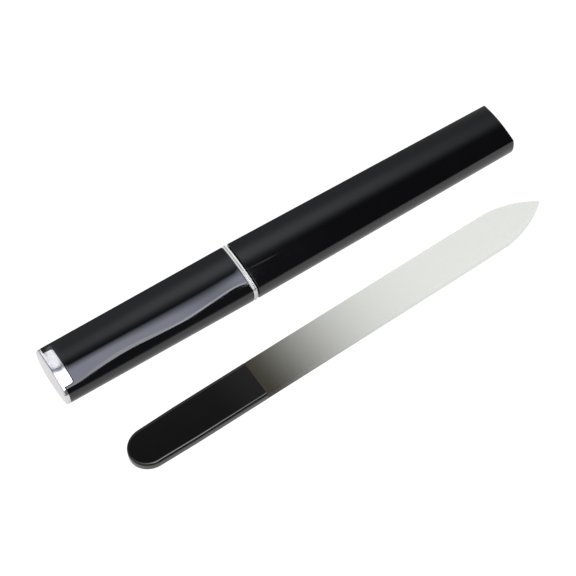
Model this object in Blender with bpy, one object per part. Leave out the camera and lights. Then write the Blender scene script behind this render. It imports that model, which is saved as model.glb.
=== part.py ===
"""Glass nail file lying beside its closed hard case.

The case is a slim tube of two tapered halves that pull apart at a bright ring. Both halves have the same
section: crowned top and bottom, four crisp ridges and bulged sides. X runs along the case, from the bright end
plug to the closed far end, Z is up, and the set rests on z = 0. The origin is under the middle of the whole set.
"""

import math

import bmesh
import bpy
import numpy as np

# Sizes of the case, in metres
long_length = 0.0886
short_length = 0.0581
ring_width = 0.0016
parting_gap = 0.0003
seat_gap = 0.0003
case_height = 0.0084
side_bulge = 0.0006
ridge_radius = 0.0004
rest_land_depth = 0.0001
joint_half_width = 0.00827
joint_crown = 0.0011
long_end_half_width = 0.00730
long_end_crown = 0.00105
short_end_half_width = 0.00810
short_end_crown = 0.0014

# Long half
shell_wall = 0.0009
shell_lip = 0.0002
cavity_corner = 0.0003
far_wall = 0.0012
far_end_dome = 0.0002
far_edge_radius = 0.0003

# Bright ring of two bands
ring_proud = 0.0001
ring_groove_depth = 0.0002

# Neck sleeve, fixed in the short half and sliding in the long half
sleeve_wall = 0.0006
sleeve_seat_length = 0.0100
neck_length = 0.0120
neck_lead_length = 0.0006

# Bright end plug
plate_thickness = 0.0012
plate_dome = 0.0007
plate_edge_radius = 0.0007
pocket_floor = 0.0009
spigot_wall = 0.0006
spigot_past_notch = 0.0011
horn_width = 0.0020
notch_depth = 0.0028
notch_corner = 0.0009

# Soft pads
tip_pad_thickness = 0.0030
handle_pad_thickness = 0.0030
pad_gap = 0.0003
pad_edge = 0.0003

# Glass file
file_length = 0.1400
file_width = 0.0114
file_thickness = 0.0030
file_edge_radius = 0.0004
file_end_edge_radius = 0.0015
file_end_length = 0.0064
file_tip_length = 0.0155
file_tip_bulge = 0.00105
handle_length = 0.0408
etch_depth = 0.00005
etch_step_length = 0.0002

# Where the file lies beside the case
set_gap = 0.0119
file_along = 0.0016
file_turn = math.radians(2.2)

# How far cutters reach past what they cut
overrun = 0.0010

# Counts of the facets
crown_steps = 8
ridge_steps = 3
side_steps = 4
body_steps = 6
edge_steps = 3
bead_steps = 4
corner_steps = 5
end_round_steps = 10
tip_steps = 10
dome_shares = (0.7, 0.35)

# Vertices closer than this share of the etch depth are one, and edges sharper than this angle stay sharp
merge_share = 0.02
smooth_angle = math.radians(35)

# Finishes as sRGB colour, roughness and metallic
black_plastic = ("141518", 0.22, 0.0)
inner_plastic = ("1c1d1f", 0.5, 0.0)
bright_plating = ("dfe1e2", 0.12, 1.0)
soft_foam = ("2b2c2e", 0.95, 0.0)
etched_glass = ("dcdedb", 0.55, 0.0)
coated_glass = ("151517", 0.15, 0.0)

# Places worked out from the sizes, along the case from the parting line
mouth_x = parting_gap
long_end_x = mouth_x + long_length
short_mouth_x = -ring_width - seat_gap
short_end_x = short_mouth_x - short_length
plate_inner_x = short_end_x - seat_gap
plate_outer_x = plate_inner_x - plate_thickness
plug_end_x = plate_outer_x - plate_dome
pocket_floor_x = plate_outer_x + pocket_floor
spigot_end_x = short_end_x + notch_depth + spigot_past_notch
section_mid_z = case_height / 2 - rest_land_depth
seated_inset = shell_wall + seat_gap
pocket_inset = seated_inset + spigot_wall
notch_half_width = short_end_half_width - horn_width


def clear_scene():
    """Take away whatever objects the opened file holds."""
    for thing in list(bpy.data.objects):
        bpy.data.objects.remove(thing, do_unlink=True)


def finish_material(name, finish):
    """Principled material from an sRGB hex colour, a roughness and a metallic value."""
    hex_colour, roughness, metallic = finish
    channels = [int(hex_colour[i:i + 2], 16) / 255 for i in (0, 2, 4)]
    linear = [c / 12.92 if c <= 0.04045 else ((c + 0.055) / 1.055) ** 2.4 for c in channels]
    material = bpy.data.materials.new(name)
    material.use_nodes = True
    shader = material.node_tree.nodes["Principled BSDF"]
    shader.inputs["Base Color"].default_value = (*linear, 1.0)
    shader.inputs["Roughness"].default_value = roughness
    shader.inputs["Metallic"].default_value = metallic
    material.diffuse_color = (*linear, 1.0)
    material.roughness = roughness
    material.metallic = metallic
    return material


def add_object(name, mesh, parent, finish=None):
    """Object of a finished mesh, shaded smooth with its real edges kept sharp."""
    part = bpy.data.objects.new(name, mesh)
    bpy.context.scene.collection.objects.link(part)
    if finish:
        mesh.materials.append(finish_material(name, finish))
    mesh.shade_smooth()
    mesh.set_sharp_from_angle(angle=smooth_angle)
    part.parent = parent
    return part


def add_empty(name, place, turn=0.0):
    """Empty that carries the pieces of one moving body."""
    empty = bpy.data.objects.new(name, None)
    bpy.context.scene.collection.objects.link(empty)
    empty.location = place
    empty.rotation_euler = (0.0, 0.0, turn)
    return empty


def width_at(x):
    """Half width between the ridges, straight tapers from the parting line to both ends."""
    return float(np.interp(
        x, (short_end_x, mouth_x, long_end_x),
        (short_end_half_width, joint_half_width, long_end_half_width)))


def crown_at(x):
    """How far the top and the bottom rise above their ridges."""
    return float(np.interp(
        x, (short_end_x, mouth_x, long_end_x),
        (short_end_crown, joint_crown, long_end_crown)))


def direction(centre, point):
    """Angle of a point seen from a centre."""
    return math.atan2(point[1] - centre[1], point[0] - centre[0])


def arc_points(centre, radius, start, end, steps):
    """Points on an arc, without its last one."""
    angles = np.linspace(start, end, steps, endpoint=False)
    return np.column_stack((centre[0] + radius * np.cos(angles), centre[1] + radius * np.sin(angles)))


def case_section(x, inset=0.0, corner=ridge_radius):
    """Section of the case at x, drawn in by inset, as (y, z) points that run once round it.

    The top is an arc through both ridges that rises by the crown, the side is an arc that stands out by its
    bulge, and a small arc rounds the ridge where the two meet.
    """
    half_width = width_at(x)
    crown = crown_at(x)
    half_side = case_height / 2 - crown
    top_radius = (half_width ** 2 + crown ** 2) / (2 * crown)
    side_radius = (half_side ** 2 + side_bulge ** 2) / (2 * side_bulge)
    top_centre = np.array((0.0, case_height / 2 - top_radius))
    side_centre = np.array((half_width + side_bulge - side_radius, 0.0))
    top_reach = top_radius - inset - corner
    side_reach = side_radius - inset - corner
    apart = side_centre - top_centre
    distance = float(np.linalg.norm(apart))
    along = (top_reach ** 2 - side_reach ** 2 + distance ** 2) / (2 * distance)
    across = math.sqrt(top_reach ** 2 - along ** 2)
    unit = apart / distance
    ridge_centre = top_centre + along * unit + across * np.array((unit[1], -unit[0]))
    ridge_top = direction(top_centre, ridge_centre)
    ridge_side = direction(side_centre, ridge_centre)
    side = arc_points(side_centre, side_radius - inset, 0.0, ridge_side, side_steps)
    ridge = arc_points(ridge_centre, corner, ridge_side, ridge_top, ridge_steps)
    top = arc_points(top_centre, top_radius - inset, ridge_top, math.pi / 2, crown_steps)
    quarter = np.vstack((side, ridge, top))
    crest = np.array(((0.0, case_height / 2 - inset),))
    half = np.vstack((quarter, crest, (quarter * (-1, 1))[:0:-1]))
    return np.vstack((half, -half))


def case_loop(x, inset=0.0, corner=ridge_radius, scale=1.0, at_x=None, rests=True):
    """The section at x as 3-D points. One that rests is cut flat underneath."""
    section = case_section(x, inset, corner) * scale
    if rests:
        section[:, 1] = np.maximum(section[:, 1], -section_mid_z)
    place = x if at_x is None else at_x
    return np.column_stack((np.full(len(section), place), section))


def loft_mesh(name, loops, closed=False):
    """Skin over a row of loops with equal point counts. Open rows get a flat face at each end."""
    body = bmesh.new()
    rows = [[body.verts.new(point) for point in loop] for loop in loops]
    count = len(rows[0])
    pairs = list(zip(rows, rows[1:]))
    if closed:
        pairs.append((rows[-1], rows[0]))
    for low, high in pairs:
        for i in range(count):
            j = (i + 1) % count
            body.faces.new((low[i], low[j], high[j], high[i]))
    if not closed:
        body.faces.new(rows[0])
        body.faces.new(rows[-1])
    bmesh.ops.recalc_face_normals(body, faces=body.faces)
    mesh = bpy.data.meshes.new(name)
    body.to_mesh(mesh)
    body.free()
    return mesh


def prism_mesh(name, outline, low_z, high_z):
    """Upright prism over a plan outline."""
    flat = np.asarray(outline)
    low = np.column_stack((flat, np.full(len(flat), low_z)))
    high = np.column_stack((flat, np.full(len(flat), high_z)))
    return loft_mesh(name, (low, high))


def edge_round(radius):
    """Quarter round as (distance in from the edge line, inset) pairs, from the end face to the side."""
    angles = np.linspace(math.pi / 2, 0.0, edge_steps + 1)
    return [(radius * (1 - math.sin(a)), radius * (1 - math.cos(a))) for a in angles]


def subtract(target, cutter):
    """Cut one object by another, which stays hidden."""
    cut = target.modifiers.new(cutter.name, "BOOLEAN")
    cut.operation = "DIFFERENCE"
    cut.solver = "EXACT"
    cut.object = cutter
    cutter.hide_render = True
    cutter.display_type = "WIRE"


def long_shell(carrier):
    """Long half: one skin from the domed far end, along the outside, round the mouth and down the cavity."""
    loops = []
    rim_x = long_end_x - far_end_dome
    for share in reversed(dome_shares):
        rise = far_end_dome * (1 - share ** 2)
        loops.append(case_loop(long_end_x, far_edge_radius, scale=share, at_x=rim_x + rise))
    for depth, inset in edge_round(far_edge_radius):
        loops.append(case_loop(rim_x - depth, inset))
    for x in np.linspace(rim_x - far_edge_radius, mouth_x + shell_lip, body_steps)[1:]:
        loops.append(case_loop(x))
    loops.append(case_loop(mouth_x, shell_lip))
    loops.append(case_loop(mouth_x, shell_wall - shell_lip, cavity_corner))
    for x in np.linspace(mouth_x + shell_lip, long_end_x - far_wall, body_steps):
        loops.append(case_loop(x, shell_wall, cavity_corner))
    return add_object("long_shell", loft_mesh("long_shell", loops), carrier, black_plastic)


def notch_outline(shrink):
    """Plan of the notch at the bright end, open towards -X, drawn in by shrink."""
    half_width = notch_half_width - shrink
    inner_x = short_end_x + notch_depth - shrink
    outer_x = plug_end_x - overrun
    radius = notch_corner - shrink
    far = arc_points((inner_x - radius, half_width - radius), radius, math.pi / 2, 0.0, corner_steps)
    near = arc_points((inner_x - radius, radius - half_width), radius, 0.0, -math.pi / 2, corner_steps)
    return [(outer_x, half_width), *far, (inner_x, half_width - radius), *near,
            (inner_x - radius, -half_width), (outer_x, -half_width)]


def short_shell(carrier):
    """Short half: a tube open at both ends, notched top and bottom at the bright end."""
    outer = np.linspace(short_end_x, short_mouth_x - shell_lip, body_steps)
    inner = np.linspace(short_mouth_x, short_end_x, body_steps)
    loops = [case_loop(x) for x in outer]
    loops.append(case_loop(short_mouth_x, shell_lip))
    loops.extend(case_loop(x, shell_wall, cavity_corner) for x in inner)
    shell = add_object("short_shell", loft_mesh("short_shell", loops, closed=True), carrier, black_plastic)
    notch = prism_mesh("notch_cutter", notch_outline(0.0), -case_height, case_height)
    subtract(shell, add_object("notch_cutter", notch, carrier))
    return shell


def joint_ring(carrier):
    """Ring of two rounded bands with a fine groove between them."""
    band = ring_width / 2
    loops = []
    for start in (-ring_width, -band):
        for step in range(bead_steps):
            share = step / bead_steps
            swell = math.sin(math.pi * share)
            inset = ring_groove_depth - (ring_groove_depth + ring_proud) * swell
            loops.append(case_loop(start + band * share, inset))
    loops.append(case_loop(0.0, ring_groove_depth))
    loops.append(case_loop(0.0, shell_wall, cavity_corner))
    loops.append(case_loop(-ring_width, shell_wall, cavity_corner))
    return add_object("joint_ring", loft_mesh("joint_ring", loops, closed=True), carrier, bright_plating)


def neck_sleeve(carrier):
    """Thin sleeve that joins the halves, with a lead at its free end."""
    outer = seated_inset
    inner = seated_inset + sleeve_wall
    seat_x = short_mouth_x - sleeve_seat_length
    neck_x = mouth_x + neck_length
    loops = [
        case_loop(seat_x, outer, cavity_corner),
        case_loop(mouth_x, outer, cavity_corner),
        case_loop(neck_x - neck_lead_length, outer, cavity_corner),
        case_loop(neck_x, outer + sleeve_wall / 2, cavity_corner),
        case_loop(neck_x, inner, cavity_corner),
        case_loop(mouth_x, inner, cavity_corner),
        case_loop(seat_x, inner, cavity_corner),
    ]
    return add_object("neck_sleeve", loft_mesh("neck_sleeve", loops, closed=True), carrier, inner_plastic)


def end_plug(carrier):
    """Domed plate, spigot with a pocket, and a tongue in each notch."""
    loops = []
    for share in reversed(dome_shares):
        rise = plate_dome * (1 - share ** 2)
        loops.append(case_loop(short_end_x, plate_edge_radius, scale=share, at_x=plate_outer_x - rise))
    for depth, inset in edge_round(plate_edge_radius):
        loops.append(case_loop(plate_outer_x + depth, inset))
    loops.append(case_loop(spigot_end_x))
    loops.append(case_loop(spigot_end_x, pocket_inset, cavity_corner))
    loops.append(case_loop(pocket_floor_x, pocket_inset, cavity_corner))
    plug = add_object("end_plug", loft_mesh("end_plug", loops), carrier, bright_plating)

    clear_x = spigot_end_x + overrun
    room = [
        case_loop(plate_inner_x, -overrun, rests=False),
        case_loop(clear_x, -overrun, rests=False),
        case_loop(clear_x, seated_inset, cavity_corner),
        case_loop(plate_inner_x, seated_inset, cavity_corner),
    ]
    shell_room = add_object("shell_room", loft_mesh("shell_room", room, closed=True), carrier)
    tongue = prism_mesh("tongue_room", notch_outline(seat_gap), -case_height, case_height)
    subtract(shell_room, add_object("tongue_room", tongue, carrier))
    subtract(plug, shell_room)
    return plug


def soft_pad(name, carrier, start_x, end_x, inset):
    """Soft block that fills the section between two places, drawn in a little round both of its faces."""
    half_height = case_height / 2 - inset
    start = [(start_x + depth, 1 - draw_in / half_height) for depth, draw_in in edge_round(pad_edge)]
    end = [(end_x - depth, 1 - draw_in / half_height) for depth, draw_in in reversed(edge_round(pad_edge))]
    loops = [case_loop(x, inset, cavity_corner, share) for x, share in (*start, *end)]
    return add_object(name, loft_mesh(name, loops), carrier, soft_foam)


def file_outline():
    """One side of the file in plan, from the middle of its round end to its point, as (x, half width) rows.

    The handle end is a quarter of an ellipse. The tip is an arc from the shoulder to the point, which stands
    out from the straight line between the two by its bulge.
    """
    half_width = file_width / 2
    turn = np.linspace(0.0, math.pi / 2, end_round_steps + 1)
    end = np.column_stack((file_end_length * (1 - np.cos(turn)), half_width * np.sin(turn)))
    steps = np.array(((handle_length, half_width), (handle_length + etch_step_length, half_width)))
    shoulder_x = file_length - file_tip_length
    share = np.linspace(0.0, 1.0, tip_steps + 1)
    chord = math.hypot(file_tip_length, half_width)
    lift = 4 * file_tip_bulge * share * (1 - share)
    tip_x = shoulder_x + file_tip_length * share + lift * half_width / chord
    tip_y = half_width * (1 - share) + lift * file_tip_length / chord
    return np.vstack((end, steps, np.column_stack((tip_x, tip_y))))


def outline_normals(outline):
    """Unit normals of the side, and at its two ends the stretch that keeps an inset line on the axis."""
    ahead = np.gradient(outline, axis=0)
    ahead /= np.linalg.norm(ahead, axis=1)[:, None]
    normals = np.column_stack((-ahead[:, 1], ahead[:, 0]))
    normals[0] = (-1.0, 0.0)
    normals[-1] = (-1.0 / ahead[-1, 1], 0.0)
    return normals


def glass_file(carrier):
    """Flat blank with rounded edges, softer round the handle end. The etched part lies a little lower."""
    outline = file_outline()
    normals = outline_normals(outline)
    middle = (file_length / 2, 0.0)
    along = outline[:, 0]
    etched = np.where(along > handle_length, etch_depth, 0.0)
    radius = np.interp(along, (0.0, file_end_length), (file_end_edge_radius, file_edge_radius))
    radius = np.minimum(radius, file_thickness / 2)
    turns = np.linspace(math.pi / 2, 0.0, edge_steps + 1)
    lower = [(radius * (1 - math.cos(turn)), radius * (1 - math.sin(turn))) for turn in turns]
    upper = [(inset, file_thickness - height) for inset, height in reversed(lower)]
    rows = []
    for inset, height in (*lower, *upper):
        flat = outline - (inset + etched)[:, None] * normals - middle
        flat[:, 1] = np.maximum(flat[:, 1], 0.0)
        rows.append(np.column_stack((flat, np.clip(height, etched, file_thickness - etched))))
    side = np.stack(rows, axis=1)
    other = side[:, ::-1] * (1, -1, 1)
    mesh = loft_mesh("glass_file", list(np.concatenate((side, other), axis=1)))
    body = bmesh.new()
    body.from_mesh(mesh)
    bmesh.ops.remove_doubles(body, verts=body.verts, dist=etch_depth * merge_share)
    bmesh.ops.recalc_face_normals(body, faces=body.faces)
    for face in body.faces:
        on_handle = face.calc_center_median().x + file_length / 2 < handle_length
        face.material_index = int(on_handle)
    body.to_mesh(mesh)
    body.free()
    blank = add_object("glass_file", mesh, carrier, etched_glass)
    mesh.materials.append(finish_material("glass_file_handle", coated_glass))
    return blank


def set_places():
    """Places of the case and the file that put the origin under the middle of the whole set."""
    side = file_outline() - (file_length / 2, 0.0)
    rim = np.vstack((side, side * (1, -1)))
    file_y = rim[:, 0] * math.sin(file_turn) + rim[:, 1] * math.cos(file_turn)
    case_reach = case_loop(0.0)[:, 1].max() + ring_proud
    file_across = case_reach + set_gap + file_y.max()
    case_y = (file_across - file_y.min() - case_reach) / 2
    case_place = (-(plug_end_x + long_end_x) / 2, case_y, section_mid_z)
    file_place = (file_along, case_y - file_across, 0.0)
    return case_place, file_place


def build():
    """Make the whole set."""
    clear_scene()
    case_place, file_place = set_places()
    case_axis = add_empty("case_axis", case_place)
    cap_slide = add_empty("cap_slide", case_place)
    file_centre = add_empty("file_centre", file_place, file_turn)

    long_shell(case_axis)
    pad_x = long_end_x - far_wall - pad_gap
    soft_pad("tip_pad", case_axis, pad_x - tip_pad_thickness, pad_x, shell_wall + pad_gap)

    short_shell(cap_slide)
    joint_ring(cap_slide)
    neck_sleeve(cap_slide)
    end_plug(cap_slide)
    pad_x = pocket_floor_x + pad_gap
    soft_pad("handle_pad", cap_slide, pad_x, pad_x + handle_pad_thickness, pocket_inset + pad_gap)

    glass_file(file_centre)


build()
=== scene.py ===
# %% [markdown]
# # A glass nail file and its hard case
#
# The set is a tempered glass nail file, etched and frosted, with a black handle end, and a slim black case of two
# halves that pull apart at a bright ring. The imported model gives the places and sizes. This lesson dresses it: each
# piece is built again as a smooth surface that is worked out with numpy, and gets the finish of its real material.

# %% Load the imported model
import math

import bmesh
import bpy
import numpy as np
from mathutils import Matrix, Vector


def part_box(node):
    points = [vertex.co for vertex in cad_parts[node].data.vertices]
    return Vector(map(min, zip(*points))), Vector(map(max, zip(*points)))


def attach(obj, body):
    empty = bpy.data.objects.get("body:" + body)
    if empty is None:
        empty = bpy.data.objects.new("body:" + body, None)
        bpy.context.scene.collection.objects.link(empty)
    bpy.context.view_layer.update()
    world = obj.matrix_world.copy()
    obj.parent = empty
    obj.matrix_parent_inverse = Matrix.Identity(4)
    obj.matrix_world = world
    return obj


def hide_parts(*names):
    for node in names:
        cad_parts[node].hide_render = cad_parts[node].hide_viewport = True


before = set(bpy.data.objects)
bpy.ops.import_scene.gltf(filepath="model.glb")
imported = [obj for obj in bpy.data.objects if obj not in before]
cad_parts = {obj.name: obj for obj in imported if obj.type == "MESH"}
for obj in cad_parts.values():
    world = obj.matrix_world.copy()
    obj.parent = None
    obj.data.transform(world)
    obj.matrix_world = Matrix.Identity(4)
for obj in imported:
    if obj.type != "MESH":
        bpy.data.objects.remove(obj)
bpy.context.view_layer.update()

# %% [markdown]
# ## Sizes
#
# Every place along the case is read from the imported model's boxes, so that each new surface lies where its solid
# lies. The section of the case can't be read from a box: its half widths and crowns are named here, at the bright
# end, at the parting line and at the far end.

# %% Places and sizes
mm = 0.001
ring_low, ring_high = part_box("joint_ring")
long_low, long_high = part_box("long_shell")
short_low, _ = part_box("short_shell")
plug_low, plug_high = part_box("end_plug")
sleeve_low, sleeve_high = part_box("neck_sleeve")

rest_land_depth = 0.1 * mm
case_height = long_high.z + rest_land_depth
case_y = (long_low.y + long_high.y) / 2
middle_z = case_height / 2 - rest_land_depth

station_x = (short_low.x, long_low.x, long_high.x)
station_half_width = (8.10 * mm, 8.27 * mm, 7.30 * mm)
station_crown = (1.40 * mm, 1.10 * mm, 1.05 * mm)
side_bulge = 0.6 * mm
ridge_radius = 0.4 * mm
cavity_corner = 0.3 * mm
shell_wall = 0.9 * mm
seat_gap = 0.3 * mm
print("case, mm: height", round(case_height / mm, 2), "middle at y", round(case_y / mm, 2))

# %% [markdown]
# ## The section of the case
#
# A moulded case like this has a crowned top, a bulged side and a crisp ridge between the two. Three arcs that meet
# smoothly draw it: one for the crown, one for the bulge, and a small one for the ridge. A reflection shows every
# kink in a glossy wall, so the arcs are exact at every point instead of being drawn by hand.
#
# One number, the turn, runs once round the section: 0 is the middle of the far side, 1 the crest, 2 the middle of
# the near side and 3 the middle of the underside. A quarter spends a share of its turn on each of its arcs.

# %% Section of the case
side_share = 0.22
ridge_share = 0.16
crown_start_share = side_share + ridge_share


def section_arcs(x, inset, corner):
    """Radii, centres and angles of the three arcs at x, drawn in by inset.

    The crown's radius is (half width squared + crown squared) / (2 * crown), and the side's follows from its bulge in
    the same way. The ridge's centre is where both arcs cross after they are drawn in by its radius.
    """
    half_width = np.interp(x, station_x, station_half_width)
    crown = np.interp(x, station_x, station_crown)
    half_side = case_height / 2 - crown
    top_radius = (half_width ** 2 + crown ** 2) / (2 * crown)
    side_radius = (half_side ** 2 + side_bulge ** 2) / (2 * side_bulge)
    top_z = case_height / 2 - top_radius
    side_y = half_width + side_bulge - side_radius
    top_reach = top_radius - inset - corner
    side_reach = side_radius - inset - corner
    distance = np.hypot(side_y, top_z)
    along = (top_reach ** 2 - side_reach ** 2 + distance ** 2) / (2 * distance)
    across = np.sqrt(top_reach ** 2 - along ** 2)
    unit_y = side_y / distance
    unit_z = -top_z / distance
    ridge_y = along * unit_y + across * unit_z
    ridge_z = top_z + along * unit_z - across * unit_y
    side_end = np.arctan2(ridge_z, ridge_y - side_y)
    crown_start = np.arctan2(ridge_z - top_z, ridge_y)
    return (side_y, side_radius - inset, side_end), (ridge_y, ridge_z), (top_z, top_radius - inset, crown_start)


def section_points(x, turn, inset=0.0, corner=ridge_radius):
    """Y and Z of the section at x and turn, drawn in by inset. All arguments are arrays that fit together.

    Within a quarter the share of the turn picks an arc, and the angle on it grows evenly. The other quarters are the
    first one mirrored in Y, in Z or in both.
    """
    x, turn, inset, corner = np.broadcast_arrays(x, turn, inset, corner)
    (side_y, side_radius, side_end), (ridge_y, ridge_z), (top_z, top_radius, crown_start) = section_arcs(
        x, inset, corner)
    quarter = np.floor(turn)
    share = np.where(quarter % 2 == 0, turn - quarter, 1 - turn + quarter)
    side = side_end * share / side_share
    ridge = side_end + (crown_start - side_end) * (share - side_share) / ridge_share
    top = crown_start + (math.pi / 2 - crown_start) * (share - crown_start_share) / (1 - crown_start_share)
    arcs = [share < side_share, share < crown_start_share]
    y = np.select(arcs, [side_y + side_radius * np.cos(side), ridge_y + corner * np.cos(ridge)],
                  top_radius * np.cos(top))
    z = np.select(arcs, [side_radius * np.sin(side), ridge_z + corner * np.sin(ridge)],
                  top_z + top_radius * np.sin(top))
    y = np.where((quarter % 4 == 1) | (quarter % 4 == 2), -y, y)
    return y, np.where(quarter % 4 >= 2, -z, z)


def share_of_y(x, y, inset=0.0, corner=ridge_radius):
    """Share of the quarter turn where the crown arc reaches y: its angle is the arc cosine of y over its radius."""
    _, _, (_, top_radius, crown_start) = section_arcs(x, inset, corner)
    angle = np.arccos(y / top_radius)
    return crown_start_share + (1 - crown_start_share) * (angle - crown_start) / (math.pi / 2 - crown_start)


ridge_y, ridge_z = section_points(long_low.x, crown_start_share)
print("upper end of the ridge at the parting line, mm:", round(ridge_y / mm, 2), round(ridge_z / mm, 2))

# %% [markdown]
# ## From rows of points to a mesh
#
# A lofted piece is a grid: each row is a loop round the case, and the rows follow one another from the outside, over
# the rims, to the inside. One function places such rows on the case. A second one turns a grid into a mesh, closes
# the seam between its last and first column, merges what falls together at a pole, and turns all faces outwards.

# %% Rows, grids and meshes
merge_distance = 0.0002 * mm
hold = 0.02 * mm
sharp_angle = math.radians(40)
quarter_share = np.concatenate((
    np.linspace(0, side_share, 12, endpoint=False),
    np.linspace(side_share, crown_start_share, 8, endpoint=False),
    np.linspace(crown_start_share, 1, 37),
))


def all_round(quarter, flip=False):
    """Values of one quarter, repeated for the whole turn. A turn runs on, and anything else is mirrored."""
    back = quarter[-2::-1]
    if flip:
        return np.concatenate((quarter, back, quarter[1:], back[:-1]))
    return np.concatenate((quarter, 2 - back, 2 + quarter[1:], 4 - back[:-1]))


full_turn = all_round(quarter_share)
print("points round the case:", len(full_turn))


def case_rows(at_x, inset=0.0, corner=ridge_radius, scale=1.0, section_x=None, turn=full_turn, rests=True):
    """Rows of points round the case, one for each value of at_x.

    A row is the section drawn in by inset, scaled about the case's long axis. Its underside is cut flat where the
    case rests.
    """
    at_x, inset, corner, scale = (
        np.reshape(v, (-1, 1)) if np.ndim(v) == 1 else np.asarray(v) for v in (at_x, inset, corner, scale))
    section_x = at_x if section_x is None else section_x
    y, z = section_points(section_x, turn, inset, corner)
    y, z, x = np.atleast_2d(*np.broadcast_arrays(y * scale, z * scale, at_x))
    if rests:
        z = np.maximum(z, -middle_z)
    return np.stack((x, y + case_y, z + middle_z), axis=-1)


def stations(start_x, end_x, count):
    """Places along a straight stretch. Its first and last steps are tiny.

    Shading is blended between neighbouring rows, so the tiny steps keep a round edge from shading the wall beside it.
    """
    step = math.copysign(hold, end_x - start_x)
    return np.concatenate(([start_x], np.linspace(start_x + step, end_x - step, count), [end_x]))


def rounded_edge(radius, steps=8):
    """Quarter round as (distance in from the end face, inset) arrays, from the end face to the wall.

    They are radius * (1 - sin(a)) and radius * (1 - cos(a)), with a from a quarter turn down to zero.
    """
    angle = np.linspace(math.pi / 2, 0, steps + 1)
    return radius * (1 - np.sin(angle)), radius * (1 - np.cos(angle))


def dome_shares(count):
    """Shares of a dome's width, from its pole to just before its rim: the sine of an angle that grows evenly."""
    return np.sin(np.linspace(0, math.pi / 2, count, endpoint=False))


def grid_piece(name, grid, closed_rows=False, material_of=None, marks=None):
    """Mesh object from a grid of points, rows by columns by 3. Columns always close on themselves.

    A face joins a point, the next one in its row and both of their followers in the next row. Its corners are
    numbers worked out as whole arrays. material_of gives a slot number from the faces' middles, and marks holds the
    name of an attribute and its value at every point.
    """
    rows, columns = grid.shape[:2]
    number = np.arange(rows * columns).reshape(rows, columns)
    low = number if closed_rows else number[:-1]
    high = np.roll(number, -1, axis=0) if closed_rows else number[1:]
    faces = np.stack((low, np.roll(low, -1, axis=1), np.roll(high, -1, axis=1), high), axis=-1).reshape(-1, 4)
    mesh = bpy.data.meshes.new(name)
    mesh.from_pydata(grid.reshape(-1, 3), [], faces)
    if marks is not None:
        values = mesh.attributes.new(marks[0], "FLOAT", "POINT").data
        values.foreach_set("value", np.broadcast_to(marks[1], (rows, columns)).astype(np.float32).ravel())
    body = bmesh.new()
    body.from_mesh(mesh)
    bmesh.ops.remove_doubles(body, verts=body.verts, dist=merge_distance)
    bmesh.ops.dissolve_degenerate(body, edges=body.edges, dist=merge_distance)
    bmesh.ops.recalc_face_normals(body, faces=body.faces)
    volume = body.calc_volume(signed=True)
    if volume < 0:
        bmesh.ops.reverse_faces(body, faces=body.faces)
    open_edges = sum(not edge.is_manifold for edge in body.edges)
    body.to_mesh(mesh)
    body.free()
    if material_of is not None:
        middles = np.zeros(3 * len(mesh.polygons))
        mesh.polygons.foreach_get("center", middles)
        mesh.polygons.foreach_set("material_index", material_of(middles.reshape(-1, 3)).astype(np.int32))
    mesh.shade_smooth()
    mesh.set_sharp_from_angle(angle=sharp_angle)
    piece = bpy.data.objects.new(name, mesh)
    bpy.context.scene.collection.objects.link(piece)
    print(f"{name}: {len(mesh.polygons)} faces, {abs(volume) / mm ** 3:.0f} mm3, {open_edges} open edges")
    return piece


def stand_for(piece, node, body, slot, *finishes):
    """The piece gets its finishes, and takes a solid's place and its body. The slot is not used."""
    for finish in finishes:
        piece.data.materials.append(finish)
    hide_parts(node)
    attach(piece, body)


# %% [markdown]
# ## Helpers for the finishes
#
# A finish is a small net of shader nodes. Colours are picked as the sRGB values that a screen shows, and the
# renderer wants linear light, so one function turns one into the other. Another adds a node with its settings and
# its links, so that each finish reads as a list of what feeds what.

# %% Colours and nodes
def linear(hex_colour):
    """Linear RGBA of an sRGB hex colour: under 0.04045 a straight line, above it a power of 2.4."""
    channel = np.array([int(hex_colour[i:i + 2], 16) for i in (0, 2, 4)]) / 255
    light = np.where(channel <= 0.04045, channel / 12.92, ((channel + 0.055) / 1.055) ** 2.4)
    return (*light.tolist(), 1.0)


def add_node(tree, kind, inputs=None, **settings):
    """New node with its settings. An input is either a value or the socket that feeds it."""
    node = tree.nodes.new("ShaderNode" + kind)
    for name, value in settings.items():
        setattr(node, name, value)
    for name, value in (inputs or {}).items():
        if isinstance(value, bpy.types.NodeSocket):
            tree.links.new(value, node.inputs[name])
        else:
            node.inputs[name].default_value = value
    return node


def new_material(name):
    """Empty material, its node tree and its output node."""
    material = bpy.data.materials.new(name)
    material.use_nodes = True
    tree = material.node_tree
    tree.nodes.clear()
    return material, tree, tree.nodes.new("ShaderNodeOutputMaterial")


def noise_at(tree, size, detail=2.0, roughness=0.5):
    """Noise over the object whose blotches are about one size across, in metres."""
    place = add_node(tree, "TexCoord").outputs["Object"]
    return add_node(tree, "TexNoise", {"Vector": place, "Scale": 1 / size, "Detail": detail,
                                       "Roughness": roughness}).outputs["Fac"]


print("light of a middle grey on the screen:", round(linear("808080")[0], 3))

# %% [markdown]
# ## Finish: polished black ABS
#
# The case halves are injection moulded in a polished mould. The plastic is nearly black by itself, and all that the
# eye sees are reflections: soft where the room is soft, crisp at the edge of a lamp. A polished moulding isn't
# quite flat, so a very shallow ripple bends those reflections, and handling leaves it a little duller in patches.

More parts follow.
